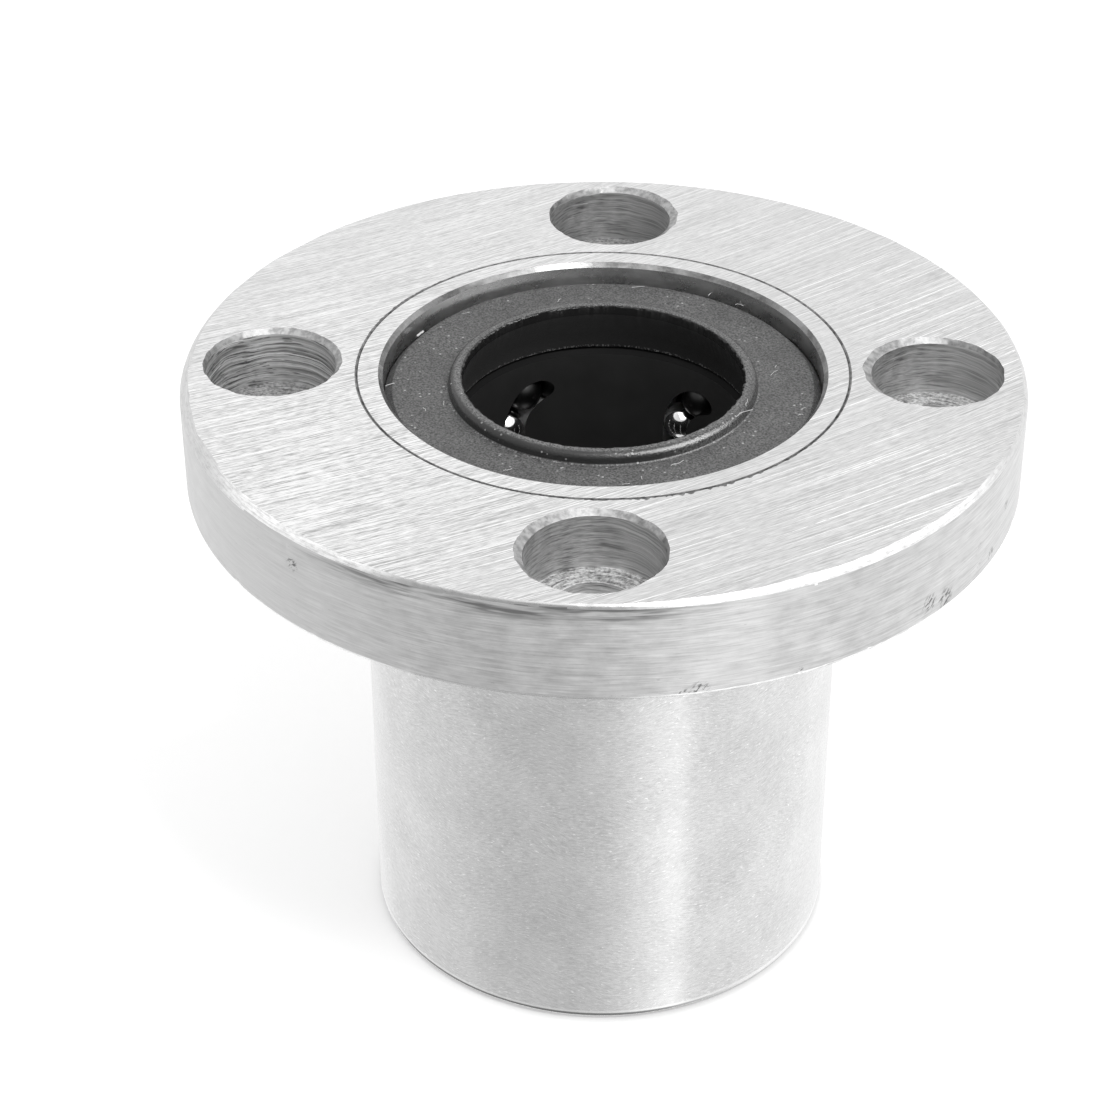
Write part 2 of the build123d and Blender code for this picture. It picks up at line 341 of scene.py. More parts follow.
def edge_break_steel():
    """Corners broken with a file: bright, smooth and a little uneven, with lines along the edge; greyer
    across the front as a painted dark reflection, and towards both sides as painted shade.
    """
    material, tree, shader = blank_material("edge_break_steel")
    x, y, z = place(tree)
    radius = radius_of(tree, x, y)
    angle = add(tree, "Math", (y, x), operation="ARCTAN2")
    along = add(tree, "Math", (angle, FLANGE_R), operation="MULTIPLY")
    across = add(tree, "Math", (radius, z), operation="SUBTRACT")
    lines = streaks(tree, across, along, 0.12 * MM, 1.2 * MM, 71, 2.0)
    spots = streaks(tree, across, along, 0.3 * MM, 0.4 * MM, 72, 2.0)
    both = weighted(tree, (lines, 0.6), (spots, 0.4))
    colour = layered(tree, linear("#D2D2D2"), (add(tree, "MapRange", (both, 0.36, 0.58)), "#FAFAFA"))
    # Painted dark reflection across the front of the edge break.
    dull = add(tree, "Math", (
        add(tree, "MapRange", (x, -12 * MM, -9 * MM)), add(tree, "MapRange", (x, 4 * MM, 1 * MM)),
    ), operation="MULTIPLY")
    dull = add(tree, "Math", (dull, add(tree, "MapRange", (y, 0.0, -4 * MM))), operation="MULTIPLY")
    # Painted shade towards both sides.
    painted_side_shade = add(tree, "Math", (
        add(tree, "MapRange", (x, 19.5 * MM, 22 * MM)), add(tree, "MapRange", (x, -18.5 * MM, -21 * MM)),
    ), operation="MAXIMUM")
    colour = layered(
        tree, colour, (weighted(tree, (painted_side_shade, 0.6)), "#B0B0B0"), (weighted(tree, (dull, 0.85)), "#A0A0A0"),
    )
    finish(tree, shader, colour, add(tree, "MapRange", (spots, 0.3, 0.7, 0.25, 0.38)), both, 0.006 * MM)
    return material


def bore_wall_steel(name, seed, ring_share, dark, light):
    """Steel cut by a counterbore tool: rings down the wall between torn patches."""
    material, tree, shader = blank_material(name)
    x, y, z = place(tree)
    wobble = add(tree, "TexNoise", {
        "Vector": add(tree, "TexCoord", output="Object"), "Scale": 1 / (3 * MM),
    })
    height = add(tree, "Math", (wobble, 0.6 * MM, z), operation="MULTIPLY_ADD")
    around = add(tree, "Math", (x, y), operation="ADD")
    rings = streaks(tree, height, around, 0.15 * MM, 9 * MM, seed, 1.0)
    torn = streaks(tree, height, around, 0.12 * MM, 1.4 * MM, seed + 1, 2.0)
    clouds = streaks(tree, z, around, 2 * MM, 1.6 * MM, seed + 2)
    grooves = streaks(tree, height, around, 0.1 * MM, 4 * MM, seed + 3, 1.0)
    cracks = add(tree, "Math", (
        add(tree, "MapRange", (torn, 0.58, 0.63)), add(tree, "MapRange", (grooves, 0.6, 0.65)),
    ), operation="MAXIMUM")
    lines = weighted(tree, (rings, ring_share), (torn, 0.9 - ring_share), (clouds, 0.25))
    colour = layered(
        tree, linear(dark), (add(tree, "MapRange", (lines, 0.42, 0.74)), light),
        (weighted(tree, (cracks, ring_share)), "#2A2A2A"),
    )
    finish(
        tree, shader, colour, add(tree, "MapRange", (rings, 0.3, 0.7, 0.35, 0.55)), lines, 0.04 * MM, 0.85,
    )
    return material


def bore_floor_steel(name, dark, light):
    """Counterbore's floor: faced steel with circles from the tool and dark chatter dots."""
    material, tree, shader = blank_material(name)
    x, y, _ = place(tree)
    position = add(tree, "TexCoord", output="Object")
    dots = add(tree, "TexNoise", {"Vector": position, "Scale": 1 / (0.16 * MM), "Detail": 2.0})
    aside = []
    for value in (x, y):
        size = add(tree, "Math", (value,), operation="ABSOLUTE")
        aside.append(add(tree, "Math", (size, HOLE_CIRCLE_R), operation="SUBTRACT"))
    tool_x = radius_of(tree, aside[0], y)
    tool_y = radius_of(tree, x, aside[1])
    circles = streaks(
        tree, add(tree, "Math", (tool_x, tool_y), operation="MINIMUM"),
        add(tree, "Math", (x, y), operation="ADD"), 0.12 * MM, 1.5 * MM, 51,
    )
    lines = weighted(tree, (dots, 0.45), (circles, 0.55))
    colour = layered(tree, linear(dark), (add(tree, "MapRange", (lines, 0.38, 0.6)), light))
    finish(tree, shader, colour, add(tree, "MapRange", (dots, 0.3, 0.7, 0.45, 0.6)), lines, 0.03 * MM, 0.45)
    return material


def torn_edge_steel():
    """Countersunk mouth: pale steel, torn here and there, with soft darker flecks."""
    material, tree, shader = blank_material("torn_edge_steel")
    position = add(tree, "TexCoord", output="Object")
    torn = add(tree, "TexNoise", {"Vector": position, "Scale": 1 / (0.35 * MM), "Detail": 3.0})
    flecks = add(tree, "MapRange", (
        add(tree, "TexNoise", {"Vector": position, "Scale": 1 / (0.25 * MM), "Detail": 1.0}), 0.6, 0.7,
    ))
    colour = layered(
        tree, linear("#888888"), (add(tree, "MapRange", (torn, 0.35, 0.65)), "#B2B2B2"),
        (weighted(tree, (flecks, 0.35)), "#6A6A6A"),
    )
    finish(tree, shader, colour, add(tree, "MapRange", (torn, 0.3, 0.7, 0.4, 0.55)), torn, 0.007 * MM, 0.85)
    return material


def ground_sleeve_steel():
    """Hardened steel, centreless ground: satin, with a fine grain, short slanted strokes and faint swirls; a
    painted highlight low on the body at the front, and painted shade along its foot at the front left.
    """
    material, tree, shader = blank_material("ground_sleeve_steel")
    x, y, z = place(tree)
    along = add(tree, "Math", (
        add(tree, "Math", (y, x), operation="ARCTAN2"), SLEEVE_R,
    ), operation="MULTIPLY")
    swirl = add(tree, "TexNoise", {
        "Vector": add(tree, "TexCoord", output="Object"), "Scale": 1 / (7 * MM), "Detail": 1.0,
    })
    bent = add(tree, "Math", (swirl, 4 * MM, z), operation="MULTIPLY_ADD")
    grain = streaks(tree, bent, along, 0.06 * MM, 0.22 * MM, 31, 2.0)
    strokes = streaks(tree, bent, along, 0.08 * MM, 0.55 * MM, 32)
    chatter = streaks(tree, bent, along, 0.3 * MM, 1.6 * MM, 35, 1.0)
    clouds = streaks(tree, z, along, 5 * MM, 4 * MM, 33)
    sparks = add(tree, "MapRange", (streaks(tree, bent, along, 0.08 * MM, 0.35 * MM, 36, 1.0), 0.66, 0.74))
    lines = weighted(tree, (grain, 0.3), (strokes, 0.5), (chatter, 0.1), (clouds, 0.25))
    colour = layered(
        tree, linear("#BCBCBC"), (add(tree, "MapRange", (lines, 0.44, 0.7)), "#DCDCDC"),
        (weighted(tree, (sparks, 0.75)), "#FFFFFF"),
    )
    specks = add(tree, "MapRange", (streaks(tree, z, along, 0.12 * MM, 0.12 * MM, 34, 1.0), 0.78, 0.82))
    colour = layered(tree, colour, (specks, "#6A6A6A"))
    # Painted shade along the foot at the front left, and a painted highlight just above the foot at the
    # front.
    front_left = add(tree, "Math", (
        add(tree, "MapRange", (y, -5 * MM, -8 * MM)), add(tree, "MapRange", (x, 9 * MM, 4 * MM)),
    ), operation="MULTIPLY")
    painted_base_shade = add(tree, "Math", (
        add(tree, "MapRange", (z, 0.56 * MM, 0.5 * MM)), front_left,
    ), operation="MULTIPLY")
    painted_low_highlight = add(tree, "Math", (
        add(tree, "MapRange", (z, 0.72 * MM, 0.66 * MM)), add(tree, "MapRange", (y, 2 * MM, -2 * MM)),
    ), operation="MULTIPLY")
    colour = layered(
        tree, colour, (weighted(tree, (painted_low_highlight, 0.4)), "#F6F6F6"),
        (weighted(tree, (painted_base_shade, 0.9)), "#6E6E6E"),
    )
    shader.inputs["Anisotropic"].default_value = 0.6
    tangent = add(tree, "Tangent", direction_type="RADIAL", axis="Z")
    tree.links.new(tangent, shader.inputs["Tangent"])
    finish(tree, shader, colour, add(tree, "MapRange", (strokes, 0.3, 0.7, 0.15, 0.22)), lines, 0.005 * MM)
    return material


def hardening_scale(name, seed, dark, light, metallic=1.0):
    """Surfaces left unground after hardening: grey oxide, mottled, with a dull sheen. Made dark and not
    metallic, as on the base chamfer, it is painted shade.
    """
    material, tree, shader = blank_material(name)
    x, y, z = place(tree)
    along = add(tree, "Math", (
        add(tree, "Math", (y, x), operation="ARCTAN2"), INSIDE_R,
    ), operation="MULTIPLY")
    mottle = streaks(tree, z, along, 1.2 * MM, 2.6 * MM, seed, 3.0)
    grain = streaks(tree, z, along, 0.12 * MM, 0.2 * MM, seed + 1)
    lines = weighted(tree, (mottle, 0.8), (grain, 0.2))
    shader.inputs["Specular IOR Level"].default_value = 0.0
    colour = layered(tree, linear(dark), (add(tree, "MapRange", (lines, 0.38, 0.62)), light))
    finish(
        tree, shader, colour, add(tree, "MapRange", (mottle, 0.3, 0.7, 0.22, 0.36)), lines, 0.004 * MM,
        metallic,
    )
    return material


def joint_dirt():
    """Old oil and grinding swarf packed in the joint: dark and dull."""
    material, tree, shader = blank_material("joint_dirt")
    position = add(tree, "TexCoord", output="Object")
    grit = add(tree, "TexNoise", {"Vector": position, "Scale": 1 / (0.4 * MM), "Detail": 3.0})
    tree.links.new(
        layered(tree, linear("#343434"), (add(tree, "MapRange", (grit, 0.3, 0.7)), "#8A8A8A")),
        shader.inputs["Base Color"],
    )
    shader.inputs["Roughness"].default_value = 0.7
    return material


def moulded_rubber(name, specular):
    """Nitrile rubber, moulded: black gone grey and dusty, with specks; glossier and less dusty on the collar.
    Painted shade darkens the collar's left front flank and the inside of the lip; a painted highlight
    lightens the near crest.
    """
    material, tree, shader = blank_material(name)
    shader.inputs["Specular IOR Level"].default_value = specular
    x, y, z = place(tree)
    radius = radius_of(tree, x, y)
    position = add(tree, "TexCoord", output="Object")
    grain = add(tree, "TexNoise", {"Vector": position, "Scale": 1 / (0.11 * MM), "Detail": 3.0})
    clouds = add(tree, "TexNoise", {"Vector": position, "Scale": 1 / (3 * MM), "Detail": 3.0})
    cells = add(tree, "TexVoronoi", {
        "Vector": position, "Scale": 1 / (0.5 * MM), "Randomness": 1.0,
    }, output="Distance")
    specks = add(tree, "Math", (
        add(tree, "MapRange", (cells, 0.17, 0.08)), add(tree, "MapRange", (clouds, 0.46, 0.56)),
    ), operation="MULTIPLY")
    above_middle = add(tree, "Math", (z, MIDDLE), operation="SUBTRACT")
    from_middle = add(tree, "Math", (above_middle,), operation="ABSOLUTE")
    raised = add(tree, "MapRange", (from_middle, 17.42 * MM, 17.5 * MM))
    flank = add(tree, "Math", (
        raised, add(tree, "MapRange", (radius, 8.45 * MM, 8.6 * MM)),
    ), operation="MULTIPLY")
    # Painted shade: the flank is darker on the left front, away from the lit right side.
    side = add(tree, "MapRange", (weighted(tree, (x, 0.85), (y, 0.5)), -2 * MM, 1 * MM))
    clean_and_shaded_flank = add(tree, "Math", (
        flank, add(tree, "Math", (1.0, weighted(tree, (side, 0.75))), operation="SUBTRACT"),
    ), operation="MULTIPLY")
    # Painted shade inside the lip and in the relief below it.
    deep = add(tree, "Math", (
        add(tree, "MapRange", (radius, 8.6 * MM, 8.5 * MM)),
        add(tree, "MapRange", (from_middle, 17.36 * MM, 17.3 * MM)),
    ), operation="MULTIPLY")
    inside = add(tree, "Math", (
        deep, add(tree, "MapRange", (radius, 8.16 * MM, 8.1 * MM)),
    ), operation="MAXIMUM")
    dust_light_and_shade = add(tree, "Math", (
        add(tree, "MapRange", (clouds, 0.3, 0.7, 0.7, 1.05)),
        add(tree, "Math", (weighted(tree, (clean_and_shaded_flank, 0.95)), inside), operation="MAXIMUM"),
    ), operation="SUBTRACT")
    # Painted highlight: the crest is lighter on the near side.
    crest = add(tree, "Math", (
        raised, add(tree, "MapRange", (radius, 8.5 * MM, 8.4 * MM)),
    ), operation="MULTIPLY")
    crest = add(tree, "Math", (crest, add(tree, "MapRange", (y, 4 * MM, 0.0))), operation="MULTIPLY")
    dust_light_and_shade = add(tree, "Math", (dust_light_and_shade, weighted(tree, (crest, 0.35), (1.0, 1.0))), operation="MULTIPLY")
    dust_light_and_shade = add(tree, "Math", (
        dust_light_and_shade, add(tree, "MapRange", (grain, 0.34, 0.66, 0.0, 1.0)),
    ), operation="MULTIPLY")
    colour = layered(tree, linear("#262626"), (dust_light_and_shade, "#6E6E6E"))
    past_foot = add(tree, "Math", (radius, COLLAR_FOOT_R), operation="SUBTRACT")
    off_foot = add(tree, "Math", (past_foot,), operation="ABSOLUTE")
    foot = add(tree, "Math", (
        add(tree, "MapRange", (off_foot, 0.07 * MM, 0.01 * MM)), add(tree, "MapRange", (grain, 0.56, 0.66)),
    ), operation="MULTIPLY")
    outside = add(tree, "Math", (1.0, inside), operation="SUBTRACT")
    back_edge = add(tree, "Math", (
        add(tree, "MapRange", (from_middle, 15.25 * MM, 15.2 * MM)),
        add(tree, "MapRange", (grain, 0.52, 0.62)),
    ), operation="MULTIPLY")
    light = add(tree, "Math", (
        add(tree, "Math", (specks, weighted(tree, (foot, 0.6))), operation="MAXIMUM"), outside,
    ), operation="MULTIPLY")
    light = add(tree, "Math", (light, weighted(tree, (back_edge, 0.3))), operation="MAXIMUM")
    colour = layered(tree, colour, (light, "#B4B4B4"))
    gloss = add(tree, "MapRange", (raised, 0.0, 1.0, 0.55, 0.2))
    finish(tree, shader, colour, gloss, grain, 0.03 * MM, metallic=0.0)
    return material


def moulded_resin(name, dark, light, specular, grease_light_share):
    """Acetal resin, moulded: black, dull under a film of oil, with a share of pale lubricant in the tracks
    whose pale colour is painted light in the shaded tracks.
    """
    material, tree, shader = blank_material(name)
    shader.inputs["Specular IOR Level"].default_value = specular
    x, y, _ = place(tree)
    position = add(tree, "TexCoord", output="Object")
    clouds = add(tree, "TexNoise", {"Vector": position, "Scale": 1 / (2 * MM), "Detail": 3.0})
    radius = radius_of(tree, x, y)
    # Pale lubricant in the tracks; its pale colour is also painted light where the tracks lie in shade.
    grease_and_painted_light = add(tree, "Math", (
        add(tree, "MapRange", (radius, 8.32 * MM, 8.45 * MM)),
        add(tree, "MapRange", (radius, 11.6 * MM, 11.4 * MM)),
    ), operation="MULTIPLY")
    colour = layered(tree, linear(dark), (clouds, light), (weighted(tree, (grease_and_painted_light, grease_light_share)), "#B4B4B4"))
    gloss = add(tree, "MapRange", (clouds, 0.3, 0.7, 0.4, 0.55))
    finish(tree, shader, colour, gloss, clouds, 0.02 * MM, metallic=0.0)
    return material


def polished_ball_steel(name, dark, light, gloss):
    """Chrome steel balls, lapped: a bright mirror, and a dark, dull copy as painted shade for the other balls
    in the turns.
    """
    material, tree, shader = blank_material(name)
    position = add(tree, "TexCoord", output="Object")
    film = add(tree, "TexNoise", {"Vector": position, "Scale": 1 / (0.8 * MM), "Detail": 2.0})
    finish(
        tree, shader, layered(tree, linear(dark), (film, light)),
        add(tree, "MapRange", (film, 0.3, 0.7, gloss, gloss + 0.06)), film, 0.004 * MM,
    )
    return material


def spring_ring_steel():
    """Stamped spring steel, oil blackened: dark with a dull grain."""
    material, tree, shader = blank_material("spring_ring_steel")
    position = add(tree, "TexCoord", output="Object")
    grain = add(tree, "TexNoise", {"Vector": position, "Scale": 1 / (0.3 * MM), "Detail": 3.0})
    colour = layered(tree, linear("#3A3A3A"), (grain, "#555555"))
    finish(tree, shader, colour, add(tree, "MapRange", (grain, 0.3, 0.7, 0.35, 0.5)), grain, 0.01 * MM)
    return material


def white_lint():
    """Cotton and paper lint: matt white fibres."""
    material, tree, shader = blank_material("white_lint")
    position = add(tree, "TexCoord", output="Object")
    fluff = add(tree, "TexNoise", {"Vector": position, "Scale": 1 / (0.2 * MM)})
    tree.links.new(layered(tree, linear("#C8C8C8"), (fluff, "#F2F2F2")), shader.inputs["Base Color"])
    shader.inputs["Roughness"].default_value = 0.9
    return material


def new_piece(name, mesh, body):
    """An object at the origin for a finished mesh, riding on a body."""
    piece = bpy.data.objects.new(name, mesh)
    bpy.context.scene.collection.objects.link(piece)
    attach(piece, body)
    return piece


def spun_mesh(name, profile, steps, closed=True):
    """Ring or plug: an outline of radius and height points, spun round Z, with its faces turned outwards."""
    shape = bmesh.new()
    points = [shape.verts.new((radius, 0, height)) for radius, height in profile]
    edges = [shape.edges.new((points[i - 1], points[i])) for i in range(0 if closed else 1, len(points))]
    bmesh.ops.spin(
        shape, geom=points + edges, cent=(0, 0, 0), axis=(0, 0, 1), dvec=(0, 0, 0),
        angle=2 * math.pi, steps=steps, use_merge=True,
    )
    bmesh.ops.remove_doubles(shape, verts=shape.verts, dist=1e-7)
    bmesh.ops.recalc_face_normals(shape, faces=shape.faces)
    mesh = bpy.data.meshes.new(name)
    shape.to_mesh(mesh)
    shape.free()
    return mesh


def arc_points(centre, radius, start, end, count):
    """Points on an arc, angles in degrees."""
    turns = [math.radians(start + (end - start) * i / count) for i in range(count + 1)]
    return [(centre[0] + radius * math.cos(a), centre[1] + radius * math.sin(a)) for a in turns]


def divided(start, end, count):
    """Points between two corners, without the corners."""
    return [
        (start[0] + (end[0] - start[0]) * i / count, start[1] + (end[1] - start[1]) * i / count)
        for i in range(1, count)
    ]


def hump(value, centre, width):
    """Smooth bump from 0 to 1 round a centre."""
    return math.exp(-((value - centre) / width) ** 2)


def rough(point, size, seed):
    """Noise from about -1 to 1 at a point, with features of one size."""
    return noise.noise(point / size + Vector((seed, 0, 0)))


def flange_outline():
    """Half section of the flange, from the joint's edge round the rim and back along the underside."""
    bore = SLEEVE_R + JOINT_GAP
    outline = [(bore, FLANGE_TOP - JOINT_BREAK), (bore + JOINT_BREAK, FLANGE_TOP)]
    outline += [(bore + 3 * JOINT_BREAK, FLANGE_TOP), (FLANGE_R - 1.2 * MM, FLANGE_TOP)]
    outline += [(FLANGE_R - offset * MM, FLANGE_TOP - drop * MM) for offset, drop in TOP_EDGE]
    top_z = FLANGE_TOP - TOP_EDGE[-1][1] * MM
    foot_z = FLANGE_FOOT + FOOT_EDGE[0][1] * MM
    outline += divided((FLANGE_R, top_z), (FLANGE_R, foot_z), 36)
    outline += [(FLANGE_R - offset * MM, FLANGE_FOOT + rise * MM) for offset, rise in FOOT_EDGE]
    outline += [(bore + 0.2 * MM, FLANGE_FOOT), (bore, FLANGE_FOOT + 0.2 * MM)]
    return outline


def wear_flange(mesh):
    """Uneven edge break, ragged lower edge, dents in the rim and a burr along the joint."""
    for vertex in mesh.vertices:
        x, y, z = vertex.co
        radius = math.hypot(x, y)
        turn = math.degrees(math.atan2(y, x)) % 360
        if radius < SLEEVE_R + 0.2 * MM and z > FLANGE_TOP - 2 * JOINT_BREAK:
            burr = hump(turn, 290, 24) + 0.35 * hump(turn, 150, 20)
            push = (0.05 + 0.22 * burr * max(0.0, 0.3 + 1.4 * rough(vertex.co, 0.24 * MM, 3))) * MM
            if radius > SLEEVE_R + JOINT_GAP + 0.01 * MM:
                vertex.co.x += x / radius * push
                vertex.co.y += y / radius * push
            continue
        if radius < FLANGE_R - 0.6 * MM:
            continue
        around = Vector((x, y, 0))
        if z > FLANGE_TOP - 1 * MM:
            width = 0.55 + 0.4 * hump(turn, 305, 20) + 0.6 * hump(turn, 205, 30) - 0.3 * hump(turn, 258, 18)
            unevenness = 0.4 if y > 0 else 1.0
            width += unevenness * (0.25 * rough(around, 2.2 * MM, 5) + 0.12 * rough(around, 0.6 * MM, 6))
            inward = (FLANGE_R - radius) * (max(width, 0.3) - 1)
            drop = (FLANGE_TOP - z) * (max(0.75 + 0.3 * (width - 0.75), 0.4) - 1)
            vertex.co -= Vector((x / radius * inward, y / radius * inward, drop))
        depth = 0.0
        if z < FLANGE_FOOT + 1 * MM:
            near_foot = 1 - (z - FLANGE_FOOT) / (1 * MM)
            chip = max(0.0, rough(around, 0.9 * MM, 7) - 0.3)
            chip += 0.5 * max(0.0, rough(around, 0.35 * MM, 8) - 0.25)
            depth += 0.16 * MM * chip * near_foot
        for dent_turn, dent_z, long, high, deep in DENTS:
            off = (turn - dent_turn + 180) % 360 - 180
            if abs(off) > 6:
                continue
            s = math.radians(off) * FLANGE_R / MM
            h = z / MM - dent_z
            lean = s * 0.75 + h * 0.66
            cross = -s * 0.66 + h * 0.75
            depth += deep * MM * math.exp(-(lean / long) ** 2 - (cross / high) ** 2)
        vertex.co.x -= x / radius * depth
        vertex.co.y -= y / radius * depth


def hole_cutter(name, index):
    """Stepped cutter for a counterbored hole: the tool's rings on its wall and a torn, off-centre mouth."""
    rng = random.Random(index + 40)
    above = 1 * MM
    floor = FLANGE_TOP - HEAD_DEPTH
    mouth_drop = 0.28 * MM
    steps = 26
    ring_depth, (shift_x, shift_y), mouth = HOLE_LOOKS[index]
    outline = [(0, FLANGE_TOP + above), (HEAD_R + mouth * MM + above, FLANGE_TOP + above)]
    outline += [(HEAD_R + mouth * MM, FLANGE_TOP), (HEAD_R, FLANGE_TOP - mouth_drop)]
    for i in range(1, steps):
        height = FLANGE_TOP - mouth_drop - (HEAD_DEPTH - mouth_drop) * i / steps
        outline.append((HEAD_R + rng.uniform(-ring_depth, 0) * MM, height))
    outline += [(HEAD_R, floor), (HOLE_R, floor), (HOLE_R, FLANGE_FOOT + 0.2 * MM)]
    exit_r = HOLE_R + 0.2 * MM
    outline += [(exit_r, FLANGE_FOOT), (exit_r + above, FLANGE_FOOT - above), (0, FLANGE_FOOT - above)]
    mesh = spun_mesh(name, outline, 120, closed=False)
    for vertex in mesh.vertices:
        if vertex.co.z > FLANGE_TOP - 0.01 * MM and vertex.co.xy.length > HEAD_R:
            tear = 1 + 0.025 * rough(vertex.co, 0.8 * MM, index * 9)
            tear += 0.012 * rough(vertex.co, 0.25 * MM, index * 9 + 4)
            vertex.co.x = vertex.co.x * tear + shift_x * MM
            vertex.co.y = vertex.co.y * tear + shift_y * MM
    return mesh


def hole_centres():
    """The four holes' centres, the first on +X."""
    turns = [2 * math.pi * index / HOLE_COUNT for index in range(HOLE_COUNT)]
    return [Vector((HOLE_CIRCLE_R * math.cos(turn), HOLE_CIRCLE_R * math.sin(turn))) for turn in turns]


def cut_holes(piece):
    """Cut the counterbored holes through the flange and keep the result as its mesh."""
    cutters = []
    for index, centre in enumerate(hole_centres()):
        mesh = hole_cutter(f"hole_cutter_{index + 1}", index)
        mesh.transform(Matrix.Translation(centre.to_3d()))
        cutter = bpy.data.objects.new(mesh.name, mesh)
        bpy.context.scene.collection.objects.link(cutter)
        cut = piece.modifiers.new(mesh.name, "BOOLEAN")
        cut.operation = "DIFFERENCE"
        cut.solver = "EXACT"
        cut.object = cutter
        cutters.append(cutter)
    bpy.context.view_layer.update()
    seen = piece.evaluated_get(bpy.context.evaluated_depsgraph_get())
    mesh = bpy.data.meshes.new_from_object(seen)
    piece.modifiers.clear()
    piece.data = mesh
    for cutter in cutters:
        bpy.data.objects.remove(cutter)


def smooth_by_angle(mesh, limit):
    """Smooth shading, with edges sharper than the limit and the borders of level faces kept sharp."""
    mesh.shade_smooth()
    shape = bmesh.new()
    shape.from_mesh(mesh)
    for edge in shape.edges:
        lies_level = {abs(face.normal.z) > 0.9999 for face in edge.link_faces}
        edge.smooth = len(lies_level) == 1 and edge.calc_face_angle(math.pi) < math.radians(limit)
    shape.to_mesh(mesh)
    shape.free()


def set_finishes(mesh, finishes, names, choose):
    """Give a mesh several finishes, each face the one that choose names."""
    mesh.materials.clear()
    for name in names:
        mesh.materials.append(finishes[name])
    for face in mesh.polygons:
        face.material_index = names.index(choose(face))


def flange_finish(face):
    """Name of the finish of one face of the flange."""
    centre = face.center
    if centre.z < FLANGE_FOOT + 0.01 * MM and face.normal.z < -0.9:
        return "turned_steel"
    offsets = [(centre.xy - hole).length for hole in hole_centres()]
    hole = offsets.index(min(offsets))
    if offsets[hole] < HEAD_R + 0.9 * MM and face.normal.z < 0.97 and centre.z > FLANGE_TOP - 0.3 * MM:
        return "torn_edge_steel"
    if offsets[hole] < HEAD_R + 0.03 * MM and centre.z < FLANGE_TOP:
        if face.normal.z > 0.9:
            return "shaded_floor_steel" if hole in (1, 2) else "bore_floor_steel"
        return "ringed_bore_steel" if hole == 2 else "bore_wall_steel"
    if centre.xy.length < SLEEVE_R + 0.4 * MM and (face.normal.z < 0.97 or centre.z < FLANGE_TOP - 0.01 * MM):
        return "joint_dirt"
    if face.normal.z > 0.985:
        return "surface_ground_steel"
    if centre.xy.length > FLANGE_R - 1.2 * MM and 0.3 < abs(face.normal.z) < 0.985:
        return "edge_break_steel"
    return "turned_steel"


def build_flange(finishes):
    """The flange, with its wear, in place of the CAD solid."""
    piece = new_piece("flange_ring", spun_mesh("flange_ring", flange_outline(), 840), HOUSING)
    cut_holes(piece)
    wear_flange(piece.data)
    names = [
        "surface_ground_steel", "turned_steel", "bore_wall_steel", "ringed_bore_steel", "bore_floor_steel",
        "shaded_floor_steel", "torn_edge_steel", "edge_break_steel", "joint_dirt",
    ]
    set_finishes(piece.data, finishes, names, flange_finish)
    smooth_by_angle(piece.data, 32)
    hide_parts("flange")


def seal_outline():
    """Half section of the upper seal: a chamfered disc, its rounded collar and the lip."""
    face, back, crest = SEAL_FACE, SEAL_BACK, seal_high.z
    lip, relief = LIP_R, LIP_R + 0.4 * MM
    chamfer = 0.47 * MM
    outline = [(lip, crest - 0.07 * MM), (lip, crest - 0.87 * MM)]
    outline += [(relief, crest - 1.97 * MM), (relief, back)]
    outline += [(SEAL_R - 0.2 * MM, back), (SEAL_R, back + 0.2 * MM)]
    outline += [(SEAL_R, face - chamfer), (SEAL_R - chamfer, face)]
    outline += divided((SEAL_R - chamfer, face), (8.95 * MM, face), 4)
    outline += arc_points((8.95 * MM, face + 0.1 * MM), 0.1 * MM, 270, 180, 3)
    outline += arc_points((8.4 * MM, crest - 0.42 * MM), 0.42 * MM, 10, 90, 8)
    outline += [(lip + 0.12 * MM, crest), (lip + 0.04 * MM, crest - 0.02 * MM)]
    return outline


def seal_finish(face):
    """Name of the finish of one face of a seal."""
    radius = face.center.xy.length
    behind_face = abs(face.center.z - MIDDLE) < SEAL_FACE - MIDDLE
    if radius < LIP_R + 0.08 * MM or (behind_face and radius < LIP_R + 0.5 * MM):
        return "shaded_rubber"
    return "moulded_rubber"


def build_seals(finishes):
    """Both seals, with the moulding flash along the lip, in place of the CAD solids."""
    for name, side in (("upper_seal", 1), ("lower_seal", -1)):
        mesh = spun_mesh(f"{name}_ring", seal_outline(), 600)
        for vertex in mesh.vertices:
            x, y, z = vertex.co
            radius = math.hypot(x, y)
            if z > seal_high.z - 0.1 * MM and radius < LIP_R + 0.15 * MM:
                turn = math.degrees(math.atan2(y, x))
                ragged = 0.6 + 0.6 * hump(turn, 25, 45)
                waves = rough(vertex.co, 0.42 * MM, 21) + rough(vertex.co, 0.17 * MM, 22)
                flash = max(-0.045 * MM, min(0.16 * MM, 0.14 * ragged * waves * MM))
                vertex.co.x += x / radius * flash
                vertex.co.y += y / radius * flash
            if radius < LIP_R + 0.5 * MM and z < SEAL_BACK + 0.1 * MM:
                vertex.co.z += 0.05 * MM * rough(vertex.co, 0.6 * MM, 23)
        if side < 0:
            mesh.transform(Matrix.Translation((0, 0, 2 * MIDDLE)) @ Matrix.Scale(-1, 4, (0, 0, 1)))
            mesh.flip_normals()
        set_finishes(mesh, finishes, ["moulded_rubber", "shaded_rubber"], seal_finish)
        smooth_by_angle(mesh, 40)
        piece = new_piece(mesh.name, mesh, HOUSING)
        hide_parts(name)


